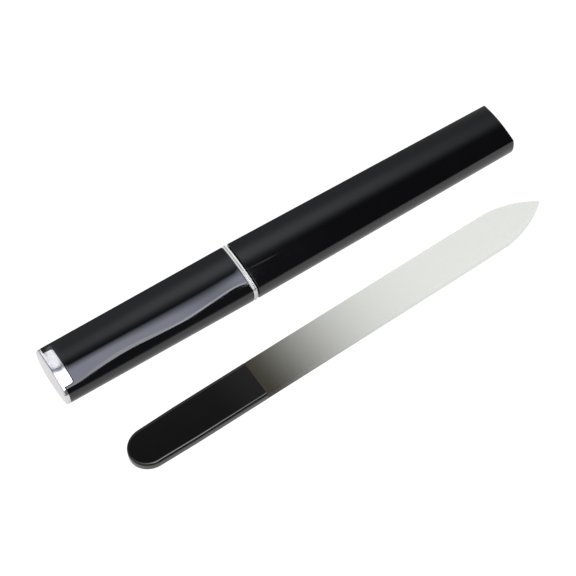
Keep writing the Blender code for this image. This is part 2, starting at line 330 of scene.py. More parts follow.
# %% Polished black ABS
def polished_black_abs():
    """Near-black plastic with a clear gloss, faint ripples and duller patches."""
    ripple_size = 5.0 * mm
    ripple_height = 0.0005 * mm
    patch_size = 9.0 * mm
    sharpest, dullest = 0.015, 0.04
    material, tree, output = new_material("polished_black_abs")
    patches = add_node(tree, "MapRange", {"Value": noise_at(tree, patch_size), "From Min": 0.35, "From Max": 0.65,
                                          "To Min": sharpest, "To Max": dullest}).outputs["Result"]
    ripple = add_node(tree, "Bump", {"Height": noise_at(tree, ripple_size, 1.0), "Distance": ripple_height,
                                     "Strength": 1.0}).outputs["Normal"]
    tone = add_node(tree, "Mix", {"Factor": noise_at(tree, patch_size), "A": linear("09090a"),
                                  "B": linear("0d0d0f")}, data_type="RGBA").outputs["Result"]
    shader = add_node(tree, "BsdfPrincipled", {"Base Color": tone, "Roughness": patches, "IOR": 1.53,
                                               "Normal": ripple})
    tree.links.new(shader.outputs["BSDF"], output.inputs["Surface"])
    return material


black_abs = polished_black_abs()

# %% [markdown]
# ## Finish: bright chrome plating on plastic
#
# The ring and the end plug are plastic under bright nickel with a very thin chrome on top. That is a mirror that
# sends back about three quarters of the light, and the nickel warms it a little. Plating over plastic is never
# perfectly clear: a fine haze of polishing marks spreads part of the light, so that even the dark parts of its
# reflections look grey instead of black. Two glosses show that, a sharp one and a hazy one.

# %% Chrome plating
def chrome_plating():
    """Nearly neutral mirror: three quarters of its gloss is sharp, and fine polishing marks spread the rest."""
    haze_share = 0.25
    mark_size = 0.8 * mm
    wave_size = 2.5 * mm
    wave_height = 0.0003 * mm
    sharp_gloss, hazy_gloss = (0.02, 0.04), (0.34, 0.40)
    material, tree, output = new_material("chrome_plating")
    marks = noise_at(tree, mark_size, 3.0)
    wave = add_node(tree, "Bump", {"Height": noise_at(tree, wave_size, 1.0), "Distance": wave_height,
                                   "Strength": 1.0}).outputs["Normal"]
    tone = add_node(tree, "Mix", {"Factor": noise_at(tree, wave_size), "A": linear("dddcda"),
                                  "B": linear("e1e0de")}, data_type="RGBA").outputs["Result"]
    glosses = []
    for smooth, rough in (sharp_gloss, hazy_gloss):
        gloss = add_node(tree, "MapRange", {"Value": marks, "From Min": 0.3, "From Max": 0.7, "To Min": smooth,
                                            "To Max": rough}).outputs["Result"]
        shader = add_node(tree, "BsdfPrincipled", {"Base Color": tone, "Metallic": 1.0, "Roughness": gloss,
                                                   "Normal": wave})
        glosses.append(shader.outputs["BSDF"])
    mix = add_node(tree, "MixShader", {0: haze_share, 1: glosses[0], 2: glosses[1]})
    tree.links.new(mix.outputs[0], output.inputs["Surface"])
    return material


chrome = chrome_plating()

# %% [markdown]
# ## Finish: satin black polypropylene
#
# The sleeve that joins the halves is only seen when the case is open. It is moulded against a spark-eroded wall of
# the mould, which leaves a fine, even grain and a satin sheen, and the other half rubs it a little brighter.

# %% Satin black polypropylene
def satin_black_polypropylene():
    """Dark plastic with an even, fine grain."""
    grain_size = 0.25 * mm
    grain_height = 0.006 * mm
    rub_size = 6.0 * mm
    material, tree, output = new_material("satin_black_polypropylene")
    grain = add_node(tree, "Bump", {"Height": noise_at(tree, grain_size, 3.0), "Distance": grain_height,
                                    "Strength": 0.6}).outputs["Normal"]
    rubbed = add_node(tree, "MapRange", {"Value": noise_at(tree, rub_size), "From Min": 0.35, "From Max": 0.65,
                                         "To Min": 0.38, "To Max": 0.52}).outputs["Result"]
    tone = add_node(tree, "Mix", {"Factor": noise_at(tree, rub_size), "A": linear("17181a"),
                                  "B": linear("1d1e20")}, data_type="RGBA").outputs["Result"]
    shader = add_node(tree, "BsdfPrincipled", {"Base Color": tone, "Roughness": rubbed, "IOR": 1.49,
                                               "Normal": grain})
    tree.links.new(shader.outputs["BSDF"], output.inputs["Surface"])
    return material


satin_black = satin_black_polypropylene()

# %% [markdown]
# ## Finish: closed-cell foam
#
# The pads inside both ends are punched from sheets of dark closed-cell foam. A cut through it opens small round
# cells, about 0.4 mm across, which look like dark pits in a dull surface. Their darkness is painted shade: the
# colour darkens towards the middle of each cell.

# %% Closed-cell foam
def closed_cell_foam():
    """Dull dark foam with pits the size of its cells: rounded cells that dip in the middle, with painted shade."""
    cell_size = 0.4 * mm
    pit_depth = 0.08 * mm
    material, tree, output = new_material("closed_cell_foam")
    place = add_node(tree, "TexCoord").outputs["Object"]
    cells = add_node(tree, "TexVoronoi", {"Vector": place, "Scale": 1 / cell_size}).outputs["Distance"]
    pits = add_node(tree, "Bump", {"Height": cells, "Distance": pit_depth, "Strength": 0.8}).outputs["Normal"]
    # Painted shade: the colour darkens towards the middle of each cell, in its pit.
    tone = add_node(tree, "Mix", {"Factor": cells, "A": linear("1b1c1d"), "B": linear("3a3b3d")},
                    data_type="RGBA").outputs["Result"]
    shader = add_node(tree, "BsdfPrincipled", {"Base Color": tone, "Roughness": 0.95, "IOR": 1.45,
                                               "Sheen Weight": 0.2, "Normal": pits})
    tree.links.new(shader.outputs["BSDF"], output.inputs["Surface"])
    return material


foam = closed_cell_foam()
print("finishes so far:", [material.name for material in bpy.data.materials])

# %% [markdown]
# ## Finishes of the file: enamelled and acid-etched glass
#
# The handle end is tempered glass under a glossy black enamel. The rest is dipped in acid, which frosts it, and the
# black is sprayed over the start of the frosting so that it fades out along the file. The frosting is milky with
# a hint of grey-green, and it lets some light through, so its shade is soft.
#
# The fade follows the file, which lies a little askew. A Mapping node turns the pattern into the file's own
# directions, with the round end at zero. The fade's front leans a little, so one edge is slightly paler. The share of
# the glass that the spray still covers is exp(-(distance from the handle / reach) ** power): most of it is gone after
# three centimetres. Less light reaches the ground edges, but they look as bright as the flats, because some comes
# through the glass. So the mesh marks them, and their colour is lifted a little: painted light on the ground edges.

# %% Enamelled and etched glass
file_place = (1.6 * mm, -14.7445 * mm)
file_turn = math.radians(2.2)
file_length = 140.0 * mm
handle_length = 40.8 * mm


def along_file(tree):
    """Vector in the file's own directions: X from its round end to its tip, Y across from its centre line."""
    start = (file_place[0] - file_length / 2 * math.cos(file_turn),
             file_place[1] - file_length / 2 * math.sin(file_turn), 0)
    place = add_node(tree, "TexCoord").outputs["Object"]
    return add_node(tree, "Mapping", {"Vector": place, "Location": start, "Rotation": (0, 0, file_turn)},
                    vector_type="TEXTURE").outputs["Vector"]


def etched_glass():
    """Frosted glass under a sprayed black that thins out from the handle on, down to milky white."""
    fade_lean = 0.10
    fade_length = 80.0 * mm
    fade_reach = 26.0 * mm
    fade_power = 1.7
    grit_size = 0.3 * mm
    grit_height = 0.004 * mm
    painted_edge_light = 1.04
    material, tree, output = new_material("etched_glass")
    split = add_node(tree, "SeparateXYZ", {"Vector": along_file(tree)})
    lean = add_node(tree, "Math", {0: split.outputs["Y"], 1: fade_lean}, operation="MULTIPLY").outputs[0]
    reach = add_node(tree, "Math", {0: split.outputs["X"], 1: lean}, operation="ADD").outputs[0]
    away = add_node(tree, "MapRange", {"Value": reach, "From Min": handle_length,
                                       "From Max": handle_length + fade_length,
                                       "To Max": fade_length / fade_reach}).outputs["Result"]
    away = add_node(tree, "Math", {0: away, 1: fade_power}, operation="POWER").outputs[0]
    away = add_node(tree, "Math", {0: away, 1: -1.0}, operation="MULTIPLY").outputs[0]
    cover = add_node(tree, "Math", {0: away}, operation="EXPONENT").outputs[0]
    fade = add_node(tree, "Mix", {"Factor": cover, "A": linear("e9ebe6"), "B": linear("3b382d")},
                    data_type="RGBA").outputs["Result"]
    grit = noise_at(tree, grit_size, 3.0)
    speckle = add_node(tree, "MapRange", {"Value": grit, "From Min": 0.3, "From Max": 0.7, "To Min": 0.985,
                                          "To Max": 1.0}).outputs["Result"]
    # Painted light: the colour is lifted a little on the ground edges, where the mesh's ground mark is 1.
    shade = add_node(tree, "MapRange", {"Value": add_node(tree, "Attribute", attribute_name="ground").outputs["Fac"],
                                        "To Min": 1.0, "To Max": painted_edge_light}).outputs["Result"]
    shade = add_node(tree, "Math", {0: speckle, 1: shade}, operation="MULTIPLY").outputs[0]
    tone = add_node(tree, "VectorMath", {0: fade, 1: shade}, operation="MULTIPLY").outputs[0]
    frost = add_node(tree, "Bump", {"Height": grit, "Distance": grit_height, "Strength": 0.5}).outputs["Normal"]
    shader = add_node(tree, "BsdfPrincipled", {
        "Base Color": tone, "Roughness": 0.62, "IOR": 1.52, "Specular IOR Level": 0.2, "Subsurface Weight": 0.35,
        "Subsurface Radius": (1.0, 1.0, 0.95), "Subsurface Scale": 0.8 * mm, "Normal": frost})
    tree.links.new(shader.outputs["BSDF"], output.inputs["Surface"])
    return material


def enamelled_glass():
    """Black enamel fired on glass: a deep black under a hard gloss, a shade greyer where the spray mists its end."""
    wave_size = 6.0 * mm
    wave_height = 0.0003 * mm
    mist_length = 14.0 * mm
    material, tree, output = new_material("enamelled_glass")
    gloss = add_node(tree, "MapRange", {"Value": noise_at(tree, wave_size), "From Min": 0.35, "From Max": 0.65,
                                        "To Min": 0.02, "To Max": 0.035}).outputs["Result"]
    wave = add_node(tree, "Bump", {"Height": noise_at(tree, wave_size, 1.0), "Distance": wave_height,
                                   "Strength": 1.0}).outputs["Normal"]
    reach = add_node(tree, "SeparateXYZ", {"Vector": along_file(tree)}).outputs["X"]
    mist = add_node(tree, "MapRange", {"Value": reach, "From Min": handle_length - mist_length,
                                       "From Max": handle_length}, interpolation_type="SMOOTHSTEP").outputs["Result"]
    clear = add_node(tree, "Mix", {"Factor": noise_at(tree, wave_size), "A": linear("0b0b0c"),
                                   "B": linear("0f0f10")}, data_type="RGBA").outputs["Result"]
    tone = add_node(tree, "Mix", {"Factor": mist, "A": clear, "B": linear("1c1c1d")},
                    data_type="RGBA").outputs["Result"]
    shader = add_node(tree, "BsdfPrincipled", {"Base Color": tone, "Roughness": gloss, "IOR": 1.58,
                                               "Specular Tint": (1.0, 0.97, 0.86, 1), "Normal": wave})
    tree.links.new(shader.outputs["BSDF"], output.inputs["Surface"])
    return material


frosted = etched_glass()
enamel = enamelled_glass()
print("file, mm: middle at", np.round(np.array(file_place) / mm, 2), "handle", round(handle_length / mm, 1))

# %% [markdown]
# ## The long half
#
# The long half is a thin cup, closed at the far end. One skin does it all: from the pole of the slightly domed end,
# over a small round, along the outside, round the lip of the mouth and down the cavity to its floor.

# %% Long half
far_dome = 0.2 * mm
far_edge_radius = 0.3 * mm
far_wall = 1.2 * mm
lip_radius = 0.12 * mm
inner_lip_radius = 0.12 * mm


def mouth_rows(mouth_x, into):
    """Rows from the outside over a mouth's lip to the cavity. into is 1 where the wall lies on the +X side."""
    outer_depth, outer_inset = rounded_edge(lip_radius)
    inner_depth, inner_inset = rounded_edge(inner_lip_radius)
    outer = case_rows(mouth_x + into * outer_depth[::-1], outer_inset[::-1])
    inner = case_rows(mouth_x + into * inner_depth, shell_wall - inner_inset, cavity_corner)
    return np.concatenate((outer, inner))


def make_long_half():
    """Skin of the long half, as rows from the far pole to the cavity's pole."""
    dome_share = dome_shares(14)
    rim_x = long_high.x - far_dome
    dome = case_rows(rim_x + far_dome * (1 - dome_share ** 2), far_edge_radius, scale=dome_share,
                     section_x=long_high.x)
    depth, inset = rounded_edge(far_edge_radius)
    edge = case_rows(rim_x - depth, inset)
    outside = case_rows(stations(rim_x - far_edge_radius, long_low.x + lip_radius, 60))
    floor_x = long_high.x - far_wall
    inside = case_rows(stations(long_low.x + inner_lip_radius, floor_x, 40), shell_wall, cavity_corner)
    floor = case_rows(np.full(2, floor_x), shell_wall, cavity_corner, scale=np.array((0.5, 0.0)))
    rows = (dome, edge[:-1], outside, mouth_rows(long_low.x, 1)[1:-1], inside, floor)
    return grid_piece("long_half", np.concatenate(rows))


long_half = make_long_half()
stand_for(long_half, "long_shell", "barrel", "black_shell", black_abs)

# %% [markdown]
# ## The notch and the tongue
#
# At the bright end the short half has a notch with round corners in its top wall, and the end plug has a tongue
# that fills it. Both follow one outline. On a quarter of the case it starts at the middle of the side, runs over the
# ridge along the end edge, turns along the notch's side, goes round the corner and along the notch's floor to the
# centre line. Growing the outline by a distance moves it into the shell's material, and a negative one draws the
# tongue in.
#
# The columns of the grid start on this outline, and fan out to an even row further along. Blending both rows in the
# section's own measures keeps every point on the case's surface, so the reflections stay smooth up to the edge.

# %% Notch outline
notch_depth = 2.8 * mm
notch_half_width = 6.1 * mm
notch_corner = 0.9 * mm
edge_count, flank_count, corner_count, floor_count = 26, 10, 10, 18


def notch_outline(end_x, grow):
    """Outline on a quarter of the case: x of every point, y where it lies on the crown, and the edge's share.

    The end edge is given by shares of the turn instead of y, because it passes round the ridge.
    """
    half_width = notch_half_width + grow
    floor_x = short_low.x + notch_depth + grow
    radius = notch_corner + grow
    angle = np.linspace(math.pi / 2, 0, corner_count, endpoint=False)
    flank_x = np.linspace(end_x, floor_x - radius, flank_count, endpoint=False)
    x = np.concatenate((np.full(edge_count, end_x), flank_x, floor_x - radius + radius * np.cos(angle),
                        np.full(floor_count, floor_x)))
    y = np.concatenate((np.full(flank_count, half_width), half_width - radius + radius * np.sin(angle),
                        np.linspace(half_width - radius, 0, floor_count)))
    return x, y


def outline_shares(x, y, inset, corner):
    """Shares of the turn for a notch outline at one inset."""
    crown = share_of_y(x[edge_count:], y, inset, corner)
    end = crown[0]
    side = np.linspace(0, side_share, 6, endpoint=False)
    ridge = np.linspace(side_share, crown_start_share, 8, endpoint=False)
    top = np.linspace(crown_start_share, end, edge_count - len(side) - len(ridge), endpoint=False)
    return np.concatenate((side, ridge, top, crown))


def even_shares(shares, x, marks, inset, corner):
    """Shares on the even row that the outline's columns fan out to.

    marks are three values of y: where the end edge, the flank and the corner end on the even row.
    """
    edge_end, flank_end, corner_end = share_of_y(np.full(3, x), np.array(marks), inset, corner)
    edge = shares[:edge_count]
    stretch = (edge_end - crown_start_share) / (shares[edge_count] - crown_start_share)
    edge = np.where(edge > crown_start_share, crown_start_share + (edge - crown_start_share) * stretch, edge)
    return np.concatenate((
        edge,
        np.linspace(edge_end, flank_end, flank_count, endpoint=False),
        np.linspace(flank_end, corner_end, corner_count, endpoint=False),
        np.linspace(corner_end, 1, floor_count),
    ))


def outline_row(end_x, grow, inset, corner):
    """One row of points on a notch outline."""
    x, y = notch_outline(end_x, grow)
    shares = outline_shares(x, y, inset, corner)
    return case_rows(all_round(x, True)[None], inset, corner, turn=all_round(shares)[None])


def fan_rows(end_x, grow, even_x, marks, inset, corner, blend):
    """Rows that fan out from a notch outline, where blend is 0, to an even row at even_x, where it is 1."""
    x, y = notch_outline(end_x, grow)
    shares = outline_shares(x, y, inset, corner)
    even = even_shares(shares, even_x, marks, inset, corner)
    blend = np.reshape(blend, (-1, 1))
    row_x = all_round(x, True) * (1 - blend) + even_x * blend
    row_turn = all_round(shares) * (1 - blend) + all_round(even) * blend
    return case_rows(row_x, inset, corner, turn=row_turn)


# %% [markdown]
# ## The short half
#
# The short half is a tube that is open at both ends. Its skin closes on itself: along the outside from the notched
# end to the mouth, over the lip, back along the inside, and over the notched rim. The rim has a very small round,
# which catches the light as a thin line. The ring is pressed home on the half, so the mouth all but touches it.

# %% Short half
rim_radius = 0.12 * mm
fan_length = 9.0 * mm
mouth_x = ring_low.x - 0.02 * mm
horn_marks = (notch_half_width + 0.9 * mm, notch_half_width, notch_half_width - notch_corner)


def even_rows(start_x, end_x, count, inset, corner):
    """Rows along the wall whose columns keep the spacing that the fan ends with."""
    x, y = notch_outline(short_low.x, rim_radius)
    shares = outline_shares(x, y, inset, corner)
    turn = all_round(even_shares(shares, short_low.x + fan_length, horn_marks, inset, corner))
    return case_rows(stations(start_x, end_x, count), inset, corner, turn=turn)


def make_short_half():
    """Skin of the short half, a closed band of rows."""
    depth, inset = rounded_edge(rim_radius, 5)
    # The first step is tiny, as in stations, and the others grow away from the notch.
    fan = np.concatenate(((0, 0.003), np.linspace(0.06, 1, 14) ** 1.5))
    even_x = short_low.x + fan_length
    outer_fan = fan_rows(short_low.x + rim_radius, rim_radius, even_x, horn_marks, 0.0, ridge_radius, fan)
    outside = even_rows(even_x, mouth_x - lip_radius, 40, 0.0, ridge_radius)
    lip_depth, lip_inset = rounded_edge(lip_radius)
    turn = all_round(even_shares(outline_shares(*notch_outline(short_low.x, rim_radius), 0.0, ridge_radius),
                                 even_x, horn_marks, 0.0, ridge_radius))
    lip = case_rows(mouth_x - lip_depth[::-1], lip_inset[::-1], turn=turn)
    inside = even_rows(mouth_x, even_x, 20, shell_wall, cavity_corner)
    inner_fan = fan_rows(short_low.x, 0.0, even_x, horn_marks, shell_wall, cavity_corner, fan[::-1])
    rim = [outline_row(short_low.x + d, d, i, ridge_radius) for d, i in zip(depth[:-1], inset[:-1])]
    rows = (outer_fan, outside[1:], lip[1:], inside, inner_fan[1:], *rim)
    return grid_piece("short_half", np.concatenate(rows), closed_rows=True)


short_half = make_short_half()
stand_for(short_half, "short_shell", "cap", "black_shell", black_abs)

# %% [markdown]
# ## The bright ring
#
# The ring covers the joint. It is one moulding: a low roof whose two slopes are slightly rounded and meet at a fine
# groove, on a narrower foot that sits between the halves. One slope mirrors the left of the room and the other the
# right, so each shows one even stripe.

# %% Ring
ring_proud = 0.1 * mm
roof_fall = 0.22 * mm
roof_bulge = 0.05 * mm
foot_width = 0.16 * mm
foot_depth = 0.8 * mm
groove_depth = 0.06 * mm
ring_round = 0.08 * mm


def make_ring():
    """Skin of the ring, a closed band of rows.

    From its edge to its middle a slope rises by roof_fall * s + roof_bulge * 4 * s * (1 - s). Its ends are rounded by
    quarter circles.
    """
    half = (ring_high.x - ring_low.x) / 2
    share = np.linspace(0, 1, 9)
    angle = np.linspace(0, math.pi / 2, 6)
    reach = np.concatenate((ring_round * (1 - np.cos(angle)),
                            ring_round + (half - foot_width - 2 * ring_round) * share[1:]))
    rise = np.concatenate((ring_round * (np.sin(angle) - 1), roof_fall * share[1:] + 4 * roof_bulge * share[1:] * (
        1 - share[1:])))
    reach = np.concatenate((reach, reach[-1] + ring_round * np.sin(angle[1:])))
    rise = np.concatenate((rise, rise[-1] - groove_depth * (1 - np.cos(angle[1:]))))
    x = ring_low.x + foot_width + reach
    inset = roof_fall - ring_proud - rise
    foot_x = (ring_low.x, ring_low.x, ring_low.x + foot_width)
    x = np.concatenate((foot_x, x))
    inset = np.concatenate(((shell_wall, foot_depth, foot_depth), inset))
    x = np.concatenate((x, (ring_low.x + ring_high.x - x)[-2::-1]))
    inset = np.concatenate((inset, inset[-2::-1]))
    return grid_piece("bright_ring", case_rows(x, inset, cavity_corner), closed_rows=True)


bright_ring = make_ring()
stand_for(bright_ring, "joint_ring", "cap", "bright_plating", chrome)

# %% [markdown]
# ## The end plug
#
# The plug is a domed plate with a tongue above and below, and a hollow spigot that sits in the short half. It is
# pressed home, so its edges all but touch the shell. Its skin starts at the pole of the dome, goes over the plate's
# long, elliptical round, runs out along the tongues, drops to the spigot, and ends on the floor of the pocket.

# %% End plug
plate_thickness = 1.2 * mm
plate_edge_radius = 0.7 * mm
plate_edge_stretch = 1.25
pocket_floor = 0.9 * mm
spigot_wall = 0.6 * mm
tongue_gap = 0.03 * mm
tongue_edge_radius = 0.15 * mm
plate_outer_x = short_low.x - seat_gap - plate_thickness
plate_dome = plate_outer_x - plug_low.x
plate_inner_x = short_low.x - tongue_gap
plate_marks = (notch_half_width - tongue_gap, notch_half_width - 0.9 * mm, notch_half_width - 1.7 * mm)


def make_plug():
    """Skin of the end plug, as rows from the plate's pole to the pocket's pole."""
    seated = shell_wall + seat_gap
    pocket = seated + spigot_wall
    dome_share = dome_shares(14)
    plate_x = plate_outer_x + plate_edge_radius * plate_edge_stretch
    outline = notch_outline(plate_inner_x, -tongue_gap)
    shares = outline_shares(*outline, 0.0, ridge_radius)
    plate_turn = all_round(even_shares(shares, plate_x, plate_marks, 0.0, ridge_radius))
    dome = case_rows(plate_outer_x - plate_dome * (1 - dome_share ** 2), plate_edge_radius, scale=dome_share,
                     section_x=short_low.x, turn=plate_turn)
    depth, inset = rounded_edge(plate_edge_radius, 12)
    edge = case_rows(plate_outer_x + depth * plate_edge_stretch, inset, turn=plate_turn)
    round_depth, round_inset = rounded_edge(tongue_edge_radius, 6)
    # From the even row to the outline, with a tiny step at either end.
    blend = np.concatenate(((1, 0.99), np.linspace(0.94, 0.06, 16), (0.01, 0)))
    face = fan_rows(plate_inner_x - tongue_edge_radius, -tongue_gap - tongue_edge_radius, plate_x, plate_marks, 0.0,
                    ridge_radius, blend)
    rims = [outline_row(plate_inner_x - d, -tongue_gap - d, i, ridge_radius)
            for d, i in zip(round_depth[::-1], round_inset[::-1])]
    drop = [outline_row(plate_inner_x, -tongue_gap, seated, cavity_corner)]
    spigot = fan_rows(plate_inner_x, -tongue_gap, plug_high.x, horn_marks, seated, cavity_corner,
                      np.linspace(0, 1, 8))
    end_turn = all_round(even_shares(outline_shares(*outline, seated, cavity_corner), plug_high.x, horn_marks,
                                     seated, cavity_corner))
    floor_x = plate_outer_x + pocket_floor
    hollow = case_rows(np.array((plug_high.x, floor_x, floor_x, floor_x)), pocket, cavity_corner,
                       scale=np.array((1.0, 1.0, 0.5, 0.0)), turn=end_turn)
    rows = (dome, edge, face[1:], *rims[1:], *drop, spigot[1:], hollow)
    return grid_piece("bright_plug", np.concatenate(rows))


bright_plug = make_plug()
stand_for(bright_plug, "end_plug", "cap", "bright_plating", chrome)

# %% [markdown]
# ## The neck sleeve
#
# The sleeve is a thin tube, fixed in the short half. It passes through the ring and slides into the long half with a
# little room all round. Its free end is drawn in, so that it finds the mouth.

# %% Sleeve
sleeve_wall = 0.6 * mm
lead_length = 0.6 * mm


def make_sleeve():
    """Skin of the sleeve, a closed band of rows: outside, drawn-in end, inside."""
    outer = shell_wall + seat_gap
    inner = outer + sleeve_wall
    outside = case_rows(stations(sleeve_low.x, sleeve_high.x - lead_length, 24)[:-1], outer, cavity_corner)
    angle = np.linspace(0, math.pi / 2, 8)
    lead = case_rows(sleeve_high.x - lead_length * (1 - np.sin(angle)), outer + sleeve_wall / 2 * (1 - np.cos(angle)),
                     cavity_corner)
    inside = case_rows(np.linspace(sleeve_high.x, sleeve_low.x, 12), inner, cavity_corner)
    return grid_piece("joining_sleeve", np.concatenate((outside, lead, inside)), closed_rows=True)


joining_sleeve = make_sleeve()
stand_for(joining_sleeve, "neck_sleeve", "cap", "inner_plastic", satin_black)

# %% [markdown]
# ## The soft pads
#
# A small block of foam at each end keeps the glass from knocking on the plastic. Such a block is punched a little
# too large, and squeezed in: its faces swell between its edges. It is built directly, as a loft whose two faces
# are low domes, because it is too small for a cloth simulation to show anything more.

# %% Pads
pad_swell = 0.25 * mm
pad_edge = 0.4 * mm


def make_pad(name, node, inset, body):
    """Foam block in its solid's box: a dome, a round edge, a wall, a round edge and a dome."""
    low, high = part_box(node)
    share = dome_shares(10)
    depth, draw_in = rounded_edge(pad_edge, 6)
    x = np.concatenate((low.x + pad_swell * share ** 2, low.x + pad_swell + depth))
    half_height = case_height / 2 - inset
    scale = np.concatenate((share * (1 - pad_edge / half_height), 1 - draw_in / half_height))
    x = np.concatenate((x, (low.x + high.x - x)[::-1]))
    scale = np.concatenate((scale, scale[::-1]))
    rows = case_rows(x, inset, cavity_corner, scale=scale, section_x=(low.x + high.x) / 2)
    pad = grid_piece(name, rows)
    stand_for(pad, node, body, "foam", foam)


make_pad("tip_foam", "tip_pad", shell_wall + seat_gap, "barrel")
make_pad("handle_foam", "handle_pad", shell_wall + 2 * seat_gap + spigot_wall, "cap")

# %% [markdown]
# ## The glass file
#
# The blank is cut from 3 mm sheet glass and ground: the handle end is half an ellipse, the sides are straight, and
# two arcs meet in the point. Its edges are ground round, most at the handle end: first a wide, shallow arc that
# leaves the flat, and then a tight one. The ground sides swell a fifth of a millimetre beyond the solid's straight
# ones, where the file's box has room for it. The etching takes 0.05 mm off.
#
# The plan outline is one closed loop. Each row of the grid is that loop, drawn in along its normals and lifted, so
# the rows climb from the centre line of the underside, round the edge, to the centre line of the top.

# %% Glass file
file_thickness = 3.0 * mm
file_half_width = 5.7 * mm
round_end_length = 6.4 * mm
tip_length = 15.5 * mm
tip_bulge = 1.05 * mm
shoulder_turn = 0.28
shoulder_radius = 1.85 * mm
corner_radius = 0.48 * mm
edge_change = 1.0 * mm
edge_sizes = (0.7, 1.0, 1.0, 0.35)
swell_x = (round_end_length, 18 * mm, handle_length, handle_length + edge_change, 110 * mm, file_length - tip_length)
swell_y = (0, 0.22 * mm, 0.22 * mm, 0.12 * mm, 0.12 * mm, 0)
etch_depth = 0.05 * mm
etch_step = 0.2 * mm
inset_limit = 0.8
centre_end = 2.0 * mm


def file_side():
    """One side of the file from its round end to its tip, and its outward normals.

    The end is (length * (1 - cos t), half width * sin t). The tip is the chord from the shoulder to the point, lifted
    along its normal by 4 * bulge * s * (1 - s).
    """
    turn = np.linspace(0, math.pi / 2, 40)
    end = np.column_stack((round_end_length * (1 - np.cos(turn)), file_half_width * np.sin(turn)))
    end_normal = np.column_stack((-file_half_width * np.cos(turn), round_end_length * np.sin(turn)))
    shoulder = file_length - tip_length
    step_start, step_end = handle_length - hold, handle_length + etch_step + hold
    step = np.concatenate(((step_start,), np.linspace(handle_length, handle_length + etch_step, 5), (step_end,)))
    straight_x = np.concatenate((np.linspace(round_end_length, step_start, 12, endpoint=False)[1:], step,
                                 np.linspace(step_end, handle_length + edge_change, 4, endpoint=False)[1:],
                                 np.linspace(handle_length + edge_change, shoulder, 24, endpoint=False)))
    straight = np.column_stack((straight_x, file_half_width + np.interp(straight_x, swell_x, swell_y)))
    straight_normal = np.tile((0.0, 1.0), (len(straight_x), 1))
    share = np.linspace(0, 1, 30)
    chord = np.array((tip_length, -file_half_width)) / math.hypot(tip_length, file_half_width)
    out = np.array((-chord[1], chord[0]))
    reach = math.hypot(tip_length, file_half_width) * share
    lift = 4 * tip_bulge * share * (1 - share)
    tip = (shoulder, file_half_width) + reach[:, None] * chord + lift[:, None] * out
    slope = 4 * tip_bulge * (1 - 2 * share) / math.hypot(tip_length, file_half_width)
    tip_normal = out - slope[:, None] * chord
    side = np.concatenate((end, straight, tip))
    normal = np.concatenate((end_normal, straight_normal, tip_normal))
    normal /= np.linalg.norm(normal, axis=1)[:, None]
    normal[-1] = (1 / normal[-1, 0], 0)
    return side, normal


def ground_edge():
    """Insets and depths of the ground edge, from the wall up to the flat: a tight arc, then a wide, shallow one.

    Both grow from the wall: the inset by radius * (1 - sin(a)), and the height by radius * cos(a), with a from a
    quarter turn down to shoulder_turn on the tight arc, and from there to zero on the wide one.
    """
    tight = np.linspace(math.pi / 2, shoulder_turn, 7)
    wide = np.linspace(shoulder_turn, 0, 6)[1:]
    tight_inset = corner_radius * (1 - np.sin(tight))
    tight_height = corner_radius * np.cos(tight)
    wide_inset = tight_inset[-1] + shoulder_radius * (math.sin(shoulder_turn) - np.sin(wide))
    wide_height = tight_height[-1] + shoulder_radius * (np.cos(wide) - math.cos(shoulder_turn))
    inset = np.concatenate((tight_inset, wide_inset))
    height = np.concatenate((tight_height, wide_height))
    return inset, height[-1] - height


def make_file():
    """Skin of the file, as rows from the centre line of its underside to that of its top.

    Near the poles of the loop an inset stays under a share of the way to the centre line, and the centre line ends a
    little before the tip. The mark "ground" is 1 on the wall and falls to 0 on the flats.
    """
    side, normal = file_side()
    loop = np.concatenate((side, side[-2:0:-1] * (1, -1)))
    out = np.concatenate((normal, normal[-2:0:-1] * (1, -1)))
    etched = np.clip((loop[:, 0] - handle_length) / etch_step, 0, 1) * etch_depth
    size = np.interp(loop[:, 0], (0, round_end_length, handle_length, handle_length + edge_change), edge_sizes)
    inset, depth = (size * np.concatenate((part, part[-1:]))[:, None] for part in ground_edge())
    inset[-1] += hold
    inset = np.concatenate((inset[::-1], inset)) + etched
    height = np.clip(np.concatenate((depth[::-1], file_thickness - depth)), etched, file_thickness - etched)
    away = np.abs(loop[:, 1])
    room = np.divide(inset_limit * away, np.abs(out[:, 1]), out=np.ones(len(loop)), where=out[:, 1] != 0)
    plan = loop - np.minimum(inset, room)[..., None] * out
    middle_x = np.clip(loop[:, 0], round_end_length, file_length - centre_end)
    middle = np.column_stack((middle_x, np.zeros(len(loop))))
    plan = np.concatenate((middle[None], plan, middle[None]))
    height = np.concatenate((height[:1], height, height[-1:]))
    # The ground mark tells the frosted finish where to paint light on the edges.
    share = ground_edge()[1] / ground_edge()[1][0]
    ground = np.concatenate(((0, 0), share[::-1], share, (0, 0)))[:, None]
    x = plan[..., 0] - file_length / 2
    turned = np.stack((x * math.cos(file_turn) - plan[..., 1] * math.sin(file_turn) + file_place[0],
                       x * math.sin(file_turn) + plan[..., 1] * math.cos(file_turn) + file_place[1], height), axis=-1)

    def slot_of(middles):
        """Slot 0, frosted, past the handle, and slot 1, enamelled, on it."""
        reach = ((middles[:, 0] - file_place[0]) * math.cos(file_turn)
                 + (middles[:, 1] - file_place[1]) * math.sin(file_turn) + file_length / 2)
        return reach < handle_length

    return grid_piece("nail_file", turned, material_of=slot_of, marks=("ground", ground))


nail_file = make_file()
stand_for(nail_file, "glass_file", "file", "etched_glass", frosted, enamel)

# %% [markdown]
# ## The camera
#
# The camera stands at the photograph's angle: it looks down at 62 degrees from the near left, through a long lens,
# half a metre away. Its sensor is 36 mm wide, so the focal length in pixels times 36 / 576 is the lens in mm.

# %% Camera
camera_turn = math.radians(-32.666)
camera_rise = math.radians(61.856)
camera_distance = 0.500
focal_pixels = 1769.73
image_pixels = 576
sensor_width = 36.0
aim = np.array((-4.193, 4.3466, 0.0)) * mm


